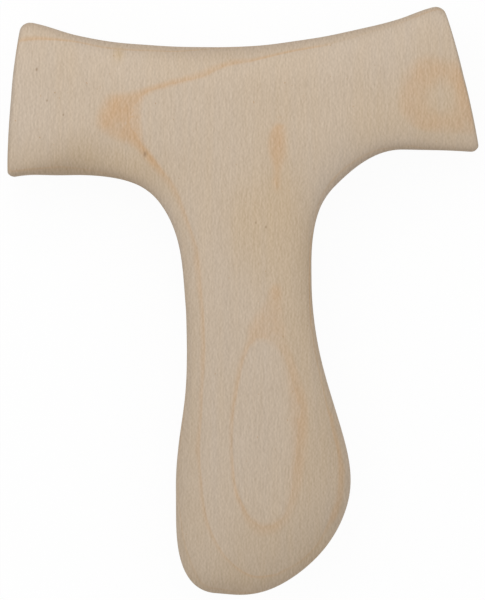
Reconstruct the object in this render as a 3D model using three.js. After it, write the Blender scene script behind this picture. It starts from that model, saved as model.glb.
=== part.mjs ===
import * as THREE from 'three';
import { mergeVertices } from 'three/addons/utils/BufferGeometryUtils.js';

// A tau cross for the palm of the hand, carved from one board of pale maple and sanded round. The grain
// runs along the stem. Sizes are millimetres and angles are degrees.
//
// The cross lies on its back: +X runs to its right arm, +Y to the top of its crossbar and +Z out of its
// face. The origin is on the back, under the crossing, where the middle lines of arms and stem meet. A
// "rise" is measured from there towards +Y, a "drop" towards -Y and a "reach" sideways.

// Board and section
const thickness = 17; // between the flat lands of face and back
const landShare = 0.2; // the part of each half width that the plane leaves flat
const sideFullness = 2.3; // superellipse exponent of the rounded sides, 2 for an ellipse
const endRounding = 1.7; // how far the eased edge of an arm's end reaches in along the arm
const endFullness = 3; // superellipse exponent of that eased edge

// Left arm: the longer one, level, with a nearly square end
const leftReach = 37.8; // to the middle of the end's chord
const leftEndRise = 1.25; // of that middle
const leftEndHeight = 26;
const leftEndLean = 5; // top corner leaning in towards the stem
const leftEndBow = 0.5; // swell of the end past its chord
const leftTopCorner = 2.1; // corner radii, seen from the front
const leftBottomCorner = 0.8;
const leftTopSlope = 20; // how steeply the top edge falls away from the corner
const leftBottomSlope = 11; // how steeply the underside rises from the corner
const leftUnderInset = 11; // from the bottom corner in to the highest place of the underside
const leftUnderDrop = 11.2; // of that place

// Right arm: the shorter one, tilted up, with a leaning end
const rightReach = 34.15;
const rightEndRise = 4.6;
const rightEndHeight = 24.6;
const rightEndLean = 14;
const rightEndBow = 0.5;
const rightTopCorner = 1.9;
const rightBottomCorner = 0.7;
const rightTopSlope = 20;
const rightBottomSlope = 2;
const rightUnderInset = 12.1;
const rightUnderDrop = 7;

// The dip in the crossbar's top edge
const dipReach = 6.1; // to the left of the crossing
const dipRise = 9.5;

// Armpits, each given by a place on its hollow: how far outside the neck and below the arm's underside it
// lies, and the slope of the outline there
const leftPitReach = 4.4;
const leftPitDrop = 4.4;
const leftPitSlope = 52;
const rightPitReach = 3.8;
const rightPitDrop = 6;
const rightPitSlope = 46;

// Stem: its neck, one more place on each flank, its widest place low down, and the rounded foot
const neckWidth = 20.1;
const leftNeckDrop = 42; // the narrowest place on each side
const rightNeckDrop = 28.5;
const leftFlankRise = 10.2; // of the place on the left, above the neck
const leftFlankStep = 0.15; // how far outside the neck it lies
const leftFlankLean = 4; // lean of the outline there
const rightFlankDrop = 19.4; // of the place on the right, below the neck
const rightFlankStep = 3.55;
const rightFlankLean = 17;
const stemLength = 79; // from the crossing to the lowest point
const lowestReach = 1.6; // of that lowest point, to the left
const footWidth = 28.2;
const footOffset = 2.3;
const leftFootRise = 16.8; // of the foot's widest place on each side, above the lowest point
const rightFootRise = 18.5;
const heelStep = 3.8; // from the lowest point left to a flatter place
const heelRise = 0.3;
const heelSlope = 6;
const soleInset = 7; // from the foot's widest place on the right in to a place on its slanting lower edge
const soleRise = 4.7; // of that place, above the lowest point
const soleSlope = 41;

// Fineness of the faceted surface
const armStations = 11; // ribs between the crossing and the eased end of an arm
const endStations = 7; // ribs over that eased end
const stemStations = 24; // ribs between the crossing and the centre of the foot
const footStations = 22; // spokes round the foot
const sideSteps = 7; // facets of a rib from the land to the mid plane
const edgeSamples = 60; // arc length samples of each outline curve
const closest = 1e-4; // corners nearer than this are one corner

// Pace of the ribs
const crossingSlope = 3; // rise to the right of the arms' middle line where it crosses the stem
const cornerPace = 1.3; // how much faster a rib goes round a corner than along the middle line
const footPace = 0.5; // of the ribs along the stem's middle line as they come to the centre of the foot
const bowFade = 6; // how soon the ribs lose the bow of the end, going inward

const maple = new THREE.MeshStandardMaterial({ name: 'maple', color: 0xc8b6a4, roughness: 0.6, metalness: 0 });

// A unit vector along a heading, counted anticlockwise from +X
function along(heading) {
	const angle = THREE.MathUtils.degToRad(heading);
	return new THREE.Vector2(Math.cos(angle), Math.sin(angle));
}

// A node of the outline or of a middle line: where it is and which way the line runs there
function node(x, y, heading) {
	return { point: new THREE.Vector2(x, y), heading };
}

// The turn from one heading to another, between -180 and 180
function turnBetween(first, second) {
	return THREE.MathUtils.euclideanModulo(second - first + 180, 360) - 180;
}

// A curve from node to node. Its handles are those of the circular arc that turns as far, so two nodes
// that lie on a circle are joined by that circle, and a straight or S-shaped stretch gets thirds.
function arcLike(from, to) {
	const halfTurn = THREE.MathUtils.degToRad(turnBetween(from.heading, to.heading) / 2);
	const handle = (from.point.distanceTo(to.point) * 2) / (3 * (1 + Math.cos(halfTurn)));
	const curve = new THREE.CubicBezierCurve(
		from.point,
		from.point.clone().addScaledVector(along(from.heading), handle),
		to.point.clone().addScaledVector(along(to.heading), -handle),
		to.point,
	);
	curve.arcLengthDivisions = edgeSamples;
	return curve;
}

// A smooth line through a row of nodes
function lineThrough(nodes) {
	const path = new THREE.CurvePath();
	for (let i = 1; i < nodes.length; i++) {
		path.add(arcLike(nodes[i - 1], nodes[i]));
	}
	return path;
}

// The two nodes where a corner's round leaves the edge that comes in and joins the edge that goes out
function roundedCorner(corner, headingIn, headingOut, radius) {
	const halfTurn = THREE.MathUtils.degToRad(Math.abs(turnBetween(headingIn, headingOut)) / 2);
	const cut = radius * Math.tan(halfTurn);
	const start = corner.clone().addScaledVector(along(headingIn), -cut);
	const finish = corner.clone().addScaledVector(along(headingOut), cut);
	return [node(start.x, start.y, headingIn), node(finish.x, finish.y, headingOut)];
}

// An arm's end: its two corners, the tip in the middle of its bowed edge, and the headings there. `side` is
// -1 for the left arm and 1 for the right one.
function armEnd(side, reach, rise, height, lean, bow) {
	const upward = 90 + side * lean;
	const outward = upward - side * 90;
	const middle = new THREE.Vector2(side * reach, rise);
	const swing = side * THREE.MathUtils.radToDeg(2 * Math.atan((2 * bow) / height));
	return {
		tip: middle.clone().addScaledVector(along(outward), bow),
		outward,
		bow,
		top: middle.clone().addScaledVector(along(upward), height / 2),
		downFromTop: upward + 180 + swing,
		bottom: middle.clone().addScaledVector(along(upward), -height / 2),
		upFromBottom: upward - swing,
	};
}

// A number that goes from 0 to 1 as `share` does, with its own pace at the start and at the end
function eased(share, startPace, endPace) {
	const rest = 1 - share;
	return startPace * share * rest * rest + share * share * (3 - 2 * share) - endPace * share * share * rest;
}

// Height of a superellipse over its half width
function superellipse(share, fullness) {
	return Math.pow(1 - Math.pow(share, fullness), 1 / fullness);
}

// Where a quarter superellipse is sampled so that its facets turn by about the same angle
function quarterShare(step, steps, fullness) {
	return step === steps ? 1 : Math.pow(Math.sin((Math.PI / 2) * (step / steps)), 2 / fullness);
}

// Corners of the facets, three in a row for each
const corners = [];

// Adds a facet, unless two of its corners meet
function addFacet(a, b, c) {
	if (a.distanceTo(b) > closest && b.distanceTo(c) > closest && c.distanceTo(a) > closest) {
		corners.push(a, b, c);
	}
}

// Adds a strip of the board between ribs, its face and its back. A rib runs in plan from the middle line
// to the outline: flat over the land, then down a quarter superellipse to the mid plane. `turn` is 1 where
// the outline lies to the left of the way that the ribs follow each other, and -1 to the right.
function addRibs(ribs, turn) {
	const halfThickness = thickness / 2;
	const shares = [0];
	for (let step = 0; step <= sideSteps; step++) {
		shares.push(landShare + (1 - landShare) * quarterShare(step, sideSteps, sideFullness));
	}
	for (const face of [1, -1]) {
		const rows = ribs.map((rib) =>
			shares.map((share) => {
				const plan = rib.inner.clone().lerp(rib.outer, share);
				plan.addScaledVector(rib.outward, rib.bow * share * (1 - share));
				const sideShare = Math.max(0, (share - landShare) / (1 - landShare));
				const height = halfThickness * rib.height * superellipse(sideShare, sideFullness);
				return new THREE.Vector3(plan.x, plan.y, halfThickness + face * height);
			}),
		);
		for (let i = 1; i < rows.length; i++) {
			for (let j = 1; j < shares.length; j++) {
				const ring = [rows[i - 1][j - 1], rows[i][j - 1], rows[i][j], rows[i - 1][j]];
				if (turn * face < 0) {
					ring.reverse();
				}
				const [a, b, c, d] = ring;
				if (a.distanceTo(c) < b.distanceTo(d)) {
					addFacet(a, b, c);
					addFacet(a, c, d);
				} else {
					addFacet(a, b, d);
					addFacet(b, c, d);
				}
			}
		}
	}
}

// Both sides of an arm. Its ribs leave the crossing at rest, so that those on either side of the armpit
// meet without a crease, and they run parallel to the end where the arm's edge is eased.
function addArm(side, end, middleLine, topEdge, underEdge) {
	const middleLength = middleLine.getLength();
	const underLength = underEdge.getLength();
	const topPace = (cornerPace * middleLength) / topEdge.getLength();
	const easedShare = (cornerPace * endRounding) / underLength;
	const shares = [];
	for (let i = 0; i < armStations; i++) {
		shares.push((1 - easedShare) * (i / armStations));
	}
	for (let i = 0; i <= endStations; i++) {
		shares.push(1 - easedShare * (1 - quarterShare(i, endStations, endFullness)));
	}
	const topRibs = [];
	const underRibs = [];
	for (const share of shares) {
		const middleShare = eased(share, 0, underLength / (cornerPace * middleLength));
		const fromEnd = (1 - middleShare) * middleLength;
		const rib = {
			inner: middleLine.getPointAt(middleShare),
			height: superellipse(Math.max(0, 1 - fromEnd / endRounding), endFullness),
			outward: along(end.outward),
			bow: end.bow * Math.pow(middleShare, bowFade),
		};
		topRibs.push({ ...rib, outer: topEdge.getPointAt(eased(middleShare, 1, topPace)) });
		underRibs.push({ ...rib, outer: underEdge.getPointAt(share) });
	}
	addRibs(topRibs, side);
	addRibs(underRibs, -side);
}

// The stem from the crossing to the centre of the foot, and the spokes round the foot. Its ribs are straight
// in plan and reach the full thickness.
function addStem(middleLine, leftEdge, rightEdge, footEdge) {
	const straight = { height: 1, outward: along(0), bow: 0 };
	const leftRibs = [];
	const rightRibs = [];
	for (let i = 0; i <= stemStations; i++) {
		const share = i / stemStations;
		const inner = middleLine.getPointAt(eased(share, 0, footPace));
		leftRibs.push({ ...straight, inner, outer: leftEdge.getPointAt(share) });
		rightRibs.push({ ...straight, inner, outer: rightEdge.getPointAt(share) });
	}
	const spokes = [];
	for (let i = 0; i <= footStations; i++) {
		spokes.push({ ...straight, inner: middleLine.getPointAt(1), outer: footEdge.getPointAt(i / footStations) });
	}
	addRibs(leftRibs, -1);
	addRibs(rightRibs, 1);
	addRibs(spokes, -1);
}

// The facets as one closed mesh that shares their corners
function closedMesh(name, material) {
	const coordinates = corners.flatMap((corner) => corner.toArray());
	const loose = new THREE.BufferGeometry();
	loose.setAttribute('position', new THREE.Float32BufferAttribute(coordinates, 3));
	const geometry = mergeVertices(loose, closest);
	geometry.computeVertexNormals();
	const mesh = new THREE.Mesh(geometry, material);
	mesh.name = name;
	return mesh;
}

const leftEnd = armEnd(-1, leftReach, leftEndRise, leftEndHeight, leftEndLean, leftEndBow);
const rightEnd = armEnd(1, rightReach, rightEndRise, rightEndHeight, rightEndLean, rightEndBow);
const leftNeck = new THREE.Vector2(-neckWidth / 2, -leftNeckDrop);
const rightNeck = new THREE.Vector2(neckWidth / 2, -rightNeckDrop);
const leftPit = new THREE.Vector2(leftNeck.x - leftPitReach, -leftUnderDrop - leftPitDrop);
const rightPit = new THREE.Vector2(rightNeck.x + rightPitReach, -rightUnderDrop - rightPitDrop);
const leftFoot = new THREE.Vector2(footOffset - footWidth / 2, leftFootRise - stemLength);
const rightFoot = new THREE.Vector2(footOffset + footWidth / 2, rightFootRise - stemLength);
const neckMiddle = leftNeck.clone().lerp(rightNeck, 0.5);
const footMiddle = leftFoot.clone().lerp(rightFoot, 0.5);

addArm(
	-1,
	leftEnd,
	lineThrough([node(0, 0, 180 + crossingSlope), node(leftEnd.tip.x, leftEnd.tip.y, leftEnd.outward)]),
	lineThrough([
		node(-dipReach, dipRise, 180),
		...roundedCorner(leftEnd.top, 180 - leftTopSlope, leftEnd.downFromTop, leftTopCorner),
	]),
	lineThrough([
		node(leftPit.x, leftPit.y, 180 - leftPitSlope),
		node(leftEnd.bottom.x + leftUnderInset, -leftUnderDrop, 180),
		...roundedCorner(leftEnd.bottom, 180 + leftBottomSlope, leftEnd.upFromBottom, leftBottomCorner),
	]),
);

addArm(
	1,
	rightEnd,
	lineThrough([node(0, 0, crossingSlope), node(rightEnd.tip.x, rightEnd.tip.y, rightEnd.outward)]),
	lineThrough([
		node(-dipReach, dipRise, 0),
		...roundedCorner(rightEnd.top, rightTopSlope, rightEnd.downFromTop, rightTopCorner),
	]),
	lineThrough([
		node(rightPit.x, rightPit.y, rightPitSlope),
		node(rightEnd.bottom.x - rightUnderInset, -rightUnderDrop, 0),
		...roundedCorner(rightEnd.bottom, -rightBottomSlope, rightEnd.upFromBottom, rightBottomCorner),
	]),
);

addStem(
	lineThrough([
		node(0, 0, 270),
		node(neckMiddle.x, neckMiddle.y, 270),
		node(footMiddle.x, footMiddle.y, 270),
	]),
	lineThrough([
		node(leftPit.x, leftPit.y, -leftPitSlope),
		node(leftNeck.x - leftFlankStep, leftNeck.y + leftFlankRise, leftFlankLean - 90),
		node(leftNeck.x, leftNeck.y, -90),
		node(leftFoot.x, leftFoot.y, -90),
	]),
	lineThrough([
		node(rightPit.x, rightPit.y, 180 + rightPitSlope),
		node(rightNeck.x, rightNeck.y, 270),
		node(rightNeck.x + rightFlankStep, rightNeck.y - rightFlankDrop, 270 + rightFlankLean),
		node(rightFoot.x, rightFoot.y, 270),
	]),
	lineThrough([
		node(leftFoot.x, leftFoot.y, -90),
		node(-lowestReach - heelStep, heelRise - stemLength, -heelSlope),
		node(-lowestReach, -stemLength, 0),
		node(rightFoot.x - soleInset, soleRise - stemLength, soleSlope),
		node(rightFoot.x, rightFoot.y, 90),
	]),
);

const cross = new THREE.Group();
cross.add(closedMesh('cross_body', maple));

export default cross;
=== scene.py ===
"""A tau cross for the palm of the hand, carved from one board of pale maple and sanded round.

The cross lies on its back: +X runs to its right arm, +Y to the top of its crossbar and +Z out of its face.
The origin is on the back, under the crossing. Sizes are written in millimetres and angles in degrees, and
meshes are made in metres. The fibres of the wood run along Y, up and down the stem, and its growth layers
lie nearly flat, so that the rounding of the board cuts them into long lines.
"""

from __future__ import annotations

import logging
from dataclasses import asdict, dataclass
from enum import Enum

import bmesh
import bpy
import numpy as np
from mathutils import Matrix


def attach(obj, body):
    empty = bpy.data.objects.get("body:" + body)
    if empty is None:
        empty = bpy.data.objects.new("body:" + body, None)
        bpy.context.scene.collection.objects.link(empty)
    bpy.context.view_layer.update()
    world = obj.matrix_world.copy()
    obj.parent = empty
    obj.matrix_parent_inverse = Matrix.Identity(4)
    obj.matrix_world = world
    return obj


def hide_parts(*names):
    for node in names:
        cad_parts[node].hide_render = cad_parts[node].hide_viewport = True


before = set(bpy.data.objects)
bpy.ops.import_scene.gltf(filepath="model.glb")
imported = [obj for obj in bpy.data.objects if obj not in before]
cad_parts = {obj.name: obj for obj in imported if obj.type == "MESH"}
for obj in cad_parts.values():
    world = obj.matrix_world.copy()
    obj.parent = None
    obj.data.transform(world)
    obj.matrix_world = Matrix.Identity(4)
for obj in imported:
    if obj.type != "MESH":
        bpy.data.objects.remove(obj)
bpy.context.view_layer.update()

log = logging.getLogger("tau_cross")

MM = 0.001
BODY = "root"
CAD_NODE = "cross_body"
GROWTH_ATTRIBUTE = "growth"
BOLDNESS_ATTRIBUTE = "boldness"
WARMTH_ATTRIBUTE = "warmth"
WHITE = (1.0, 1.0, 1.0, 1.0)


def heading_vector(heading: float) -> np.ndarray:
    """Unit vector along a heading in degrees, counted anticlockwise from +X."""
    angle = np.radians(heading)
    return np.array([np.cos(angle), np.sin(angle)])


def turn_between(first: float, second: float) -> float:
    """Turn from one heading to another, between -180 and 180 degrees."""
    return (second - first + 180) % 360 - 180


def eased(share: np.ndarray, start_pace: float, end_pace: float) -> np.ndarray:
    """Hermite cubic that goes from 0 to 1 as share does, with its own pace at the start and at the end.

    Args:
        share: numbers from 0 to 1.
        start_pace: slope at 0.
        end_pace: slope at 1.

    Returns:
        The eased numbers.
    """
    rest = 1 - share
    return start_pace * share * rest**2 + share**2 * (3 - 2 * share) - end_pace * share**2 * rest


def superellipse(share: np.ndarray, fullness: float) -> np.ndarray:
    """Height of a superellipse over its half width: (1 - share^fullness)^(1 / fullness)."""
    return (1 - share**fullness) ** (1 / fullness)


def quarter_shares(steps: int, fullness: float) -> np.ndarray:
    """Where a quarter superellipse is sampled so that it turns by about the same angle at each step.

    Args:
        steps: number of steps along the quarter.
        fullness: exponent of the superellipse.

    Returns:
        The shares sin(angle)^(2 / fullness), which end at exactly 1.
    """
    shares = np.sin(np.pi / 2 * np.arange(steps + 1) / steps) ** (2 / fullness)
    shares[-1] = 1
    return shares


@dataclass(frozen=True)
class Node:
    """A place of the outline or of a middle line, and the heading of the line there."""

    x: float
    y: float
    heading: float

    @property
    def point(self) -> np.ndarray:
        """The place as a vector."""
        return np.array([self.x, self.y])


class SmoothLine:
    """A smooth line through nodes, read by its share of the arc length.

    Each stretch is a cubic Bezier curve whose handles are those of the circular arc that turns as far,
    which are chord * 2 / (3 * (1 + cos(turn / 2))) long.
    """

    SAMPLES = 400

    def __init__(self, nodes: list[Node]) -> None:
        """Samples the line.

        Args:
            nodes: the nodes in order.
        """
        share = np.linspace(0, 1, self.SAMPLES)[:, None]
        stretches = []
        for first, last in zip(nodes[:-1], nodes[1:]):
            half_turn = np.radians(turn_between(first.heading, last.heading) / 2)
            handle = np.linalg.norm(last.point - first.point) * 2 / (3 * (1 + np.cos(half_turn)))
            leaving = first.point + heading_vector(first.heading) * handle
            coming = last.point - heading_vector(last.heading) * handle
            rest = 1 - share
            curve = rest**3 * first.point + 3 * rest**2 * share * leaving
            curve = curve + 3 * rest * share**2 * coming + share**3 * last.point
            stretches.append(curve if not stretches else curve[1:])
        self.points = np.concatenate(stretches)
        steps = np.linalg.norm(np.diff(self.points, axis=0), axis=1)
        self.reached = np.concatenate([[0.0], np.cumsum(steps)])
        self.length = float(self.reached[-1])

    def at(self, share: np.ndarray) -> np.ndarray:
        """Points along the line.

        Args:
            share: shares of the arc length.

        Returns:
            One row of two coordinates for each share.
        """
        way = np.asarray(share) * self.length
        columns = [np.interp(way, self.reached, self.points[:, axis]) for axis in (0, 1)]
        return np.stack(columns, axis=-1)


def rounded_corner(corner: np.ndarray, heading_in: float, heading_out: float, radius: float) -> list[Node]:
    """The two nodes where a corner's round leaves one edge and joins the next.

    Args:
        corner: where the two edges would meet.
        heading_in: heading of the edge that comes in.
        heading_out: heading of the edge that goes out.
        radius: radius of the round.

    Returns:
        The node on the edge that comes in and the node on the edge that goes out.
    """
    cut = radius * np.tan(np.radians(abs(turn_between(heading_in, heading_out)) / 2))
    start = corner - heading_vector(heading_in) * cut
    finish = corner + heading_vector(heading_out) * cut
    return [Node(start[0], start[1], heading_in), Node(finish[0], finish[1], heading_out)]


class Side(Enum):
    """A side of the cross, seen from the front."""

    LEFT = -1
    RIGHT = 1


@dataclass(frozen=True)
class RoundOver:
    """How an edge of the board is rounded over.

    The round is a superellipse of some fullness. It stops at a straight side, whose height is a share of
    the board's.
    """

    fullness: float
    straight: float


def blended_rounds(places: tuple[float, ...], rounds: tuple[RoundOver, ...], way: np.ndarray) -> np.ndarray:
    """Round-overs along an edge, blended by smooth steps between the places where they are given.

    Args:
        places: shares of the way where the round-overs are given, from 0 to 1.
        rounds: the round-overs, one for each place.
        way: the shares where they are wanted.

    Returns:
        One row for each wanted share, with the fullness and the share of the straight side.
    """
    known = np.array(places)
    values = np.array([(each.fullness, each.straight) for each in rounds])
    before = np.clip(np.searchsorted(known, way, side="right") - 1, 0, len(known) - 2)
    share = eased((way - known[before]) / (known[before + 1] - known[before]), 0, 0)
    return values[before] + (values[before + 1] - values[before]) * share[:, None]


@dataclass(frozen=True)
class Section:
    """Cross-section of the board: a flat land on face and back, and edges rounded over between them."""

    thickness: float = 17
    land_share: float = 0.2
    end_fullness: float = 3
    side_steps: int = 28
    step_fullness: float = 2.8
    pit: RoundOver = RoundOver(fullness=2.8, straight=0.4)
    dip: RoundOver = RoundOver(fullness=2.1, straight=0.2)
    foot: RoundOver = RoundOver(fullness=2, straight=0.15)

    def shares(self) -> np.ndarray:
        """Shares of a rib's length: over the land, down the round and, at mid height, the outline again."""
        sides = self.land_share + (1 - self.land_share) * quarter_shares(self.side_steps, self.step_fullness)
        return np.concatenate([[0, self.land_share / 2], sides, [1]])

    def profile(self, shares: np.ndarray, rounds: np.ndarray) -> np.ndarray:
        """Height over the mid plane at shares of a rib, as a part of half the thickness.

        It is straight + (1 - straight) * superellipse, and 0 where the side reaches the mid plane.

        Args:
            shares: shares of the rib's length.
            rounds: fullness and share of the straight side, one row for each rib.

        Returns:
            An array of ribs by shares.
        """
        side = np.clip((shares - self.land_share) / (1 - self.land_share), 0, 1)
        fullness, straight = rounds[:, :1], rounds[:, 1:]
        heights = straight + (1 - straight) * superellipse(side[None], fullness)
        heights[:, -1] = 0
        return heights


@dataclass(frozen=True)
class Ribs:
    """A row of ribs, each running in plan from a middle line to the outline.

    The outline lies to the left of the way that the ribs follow each other where turn is 1, and to the
    right where it is -1. The height is 1 at full thickness and the bow is in millimetres along outward.
    """

    inner: np.ndarray
    outer: np.ndarray
    height: np.ndarray
    rounds: np.ndarray
    bow: np.ndarray
    outward: np.ndarray
    turn: int

    @classmethod
    def straight(cls, inner: np.ndarray, outer: np.ndarray, rounds: np.ndarray, turn: int) -> Ribs:
        """Ribs that are straight in plan and of full height."""
        count = len(inner)
        return cls(inner, outer, np.ones(count), rounds, np.zeros(count), np.zeros(2), turn)

    def surface(self, section: Section, face: int) -> np.ndarray:
        """Points of the face or the back over these ribs.

        In plan a point is inner + (outer - inner) * share + outward * bow * share * (1 - share). Its height
        is half the thickness * (1 + face * rib height * profile(share)).

        Args:
            section: the board's cross-section.
            face: 1 for the face and -1 for the back.

        Returns:
            An array of ribs by shares by three coordinates, in millimetres.
        """
        share = section.shares()
        span = self.outer - self.inner
        plan = self.inner[:, None] + span[:, None] * share[None, :, None]
        swell = self.bow[:, None] * (share * (1 - share))[None]
        plan = plan + swell[..., None] * self.outward
        half = section.thickness / 2
        level = half + face * half * self.height[:, None] * section.profile(share, self.rounds)
        return np.concatenate([plan, level[..., None]], axis=-1)


@dataclass(frozen=True)
class Arm:
    """One arm of the crossbar, with its leaning, slightly bowed end."""

    side: Side
    reach: float
    rise: float
    end_height: float
    end_lean: float
    end_bow: float
    end_rounding: float
    top_corner: float
    top_slope: float
    brow_inset: float
    brow_drop: float
    brow_slope: float
    bottom_corner: float
    bottom_slope: float
    under_inset: float
    under_drop: float
    top_middle: RoundOver
    top_end: RoundOver
    under_middle: RoundOver
    under_end: RoundOver
    round_places: tuple[float, ...] = (0, 0.55, 1)
    stations: int = 64
    end_stations: int = 14
    crossing_slope: float = 3
    corner_pace: float = 1.3
    bow_fade: float = 6

    def mirrored(self, heading: float) -> float:
        """A heading as it is on the right arm, turned over for the left one."""
        return heading if self.side is Side.RIGHT else 180 - heading

    @property
    def upward(self) -> float:
        """Heading of the end's chord from its bottom corner to its top corner."""
        return 90 + self.side.value * self.end_lean

    @property
    def outward(self) -> float:
        """Heading out of the end."""
        return self.upward - self.side.value * 90

    @property
    def middle(self) -> np.ndarray:
        """Middle of the end's chord."""
        return np.array([self.side.value * self.reach, self.rise])

    @property
    def tip(self) -> Node:
        """Middle of the bowed end, where the arm's middle line stops."""
        place = self.middle + heading_vector(self.outward) * self.end_bow
        return Node(place[0], place[1], self.outward)

    @property
    def swing(self) -> float:
        """Turn between the end's chord and its bowed edge at a corner."""
        return self.side.value * np.degrees(2 * np.arctan(2 * self.end_bow / self.end_height))

    def middle_line(self) -> SmoothLine:
        """Line from the crossing to the tip."""
        return SmoothLine([Node(0, 0, self.mirrored(self.crossing_slope)), self.tip])

    def top_edge(self, dip: np.ndarray) -> SmoothLine:
        """Outline from the crossbar's dip over the brow to the top corner.

        Args:
            dip: the lowest place of the crossbar's top edge.

        Returns:
            The edge, which ends where the round of the top corner joins the end.
        """
        corner = self.middle + heading_vector(self.upward) * self.end_height / 2
        down = self.upward + 180 + self.swing
        rounding = rounded_corner(corner, self.mirrored(self.top_slope), down, self.top_corner)
        brow = corner - np.array([self.side.value * self.brow_inset, self.brow_drop])
        return SmoothLine(
            [Node(*dip, self.mirrored(0)), Node(*brow, self.mirrored(self.brow_slope)), *rounding]
        )

    def under_edge(self, pit: Node) -> SmoothLine:
        """Outline from the armpit along the underside and round the bottom corner.

        Args:
            pit: the node in the armpit's hollow.

        Returns:
            The edge, which ends where the round of the bottom corner joins the end.
        """
        corner = self.middle - heading_vector(self.upward) * self.end_height / 2
        inward = corner[0] - self.side.value * self.under_inset
        rounding = rounded_corner(
            corner, self.mirrored(-self.bottom_slope), self.upward - self.swing, self.bottom_corner
        )
        return SmoothLine([pit, Node(inward, -self.under_drop, self.mirrored(0)), *rounding])

    def ribs(self, section: Section, dip: np.ndarray, pit: Node) -> list[Ribs]:
        """The ribs on both sides of the arm's middle line.

        They leave the crossing at rest, so that those on either side of the armpit meet without a crease.
        Over the eased end their height is a superellipse of the way left to the tip.

        Args:
            section: the board's cross-section.
            dip: the lowest place of the crossbar's top edge.
            pit: the node in the armpit's hollow.

        Returns:
            The ribs above the middle line and the ribs below it.
        """
        middle = self.middle_line()
        top = self.top_edge(dip)
        under = self.under_edge(pit)
        top_pace = self.corner_pace * middle.length / top.length
        end_share = self.corner_pace * self.end_rounding / under.length
        shares = np.concatenate(
            [
                (1 - end_share) * np.arange(self.stations) / self.stations,
                1 - end_share * (1 - quarter_shares(self.end_stations, section.end_fullness)),
            ]
        )
        way = eased(shares, 0, under.length / (self.corner_pace * middle.length))
        left_over = (1 - way) * middle.length
        height = superellipse(np.maximum(0, 1 - left_over / self.end_rounding), section.end_fullness)
        inner = middle.at(way)
        bow = self.end_bow * way**self.bow_fade
        over = blended_rounds(self.round_places, (section.dip, self.top_middle, self.top_end), way)
        below = blended_rounds(self.round_places, (section.pit, self.under_middle, self.under_end), way)
        outward = heading_vector(self.outward)
        turn = self.side.value
        return [
            Ribs(inner, top.at(eased(way, 1, top_pace)), height, over, bow, outward, turn),
            Ribs(inner, under.at(shares), height, below, bow, outward, -turn),
        ]


@dataclass(frozen=True)
class Armpit:
    """The hollow between an arm and the stem: a place on it and the slope of the outline there."""

    reach: float
    drop: float
    slope: float

    def node(self, neck_x: float, arm: Arm) -> Node:
        """The place on the hollow, heading outward along the arm.

        Args:
            neck_x: X of the stem's narrowest place on this side.
            arm: the arm over the hollow.

        Returns:
            The node that the underside of the arm starts from.
        """
        x = neck_x + arm.side.value * self.reach
        return Node(x, -arm.under_drop - self.drop, arm.mirrored(self.slope))


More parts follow.
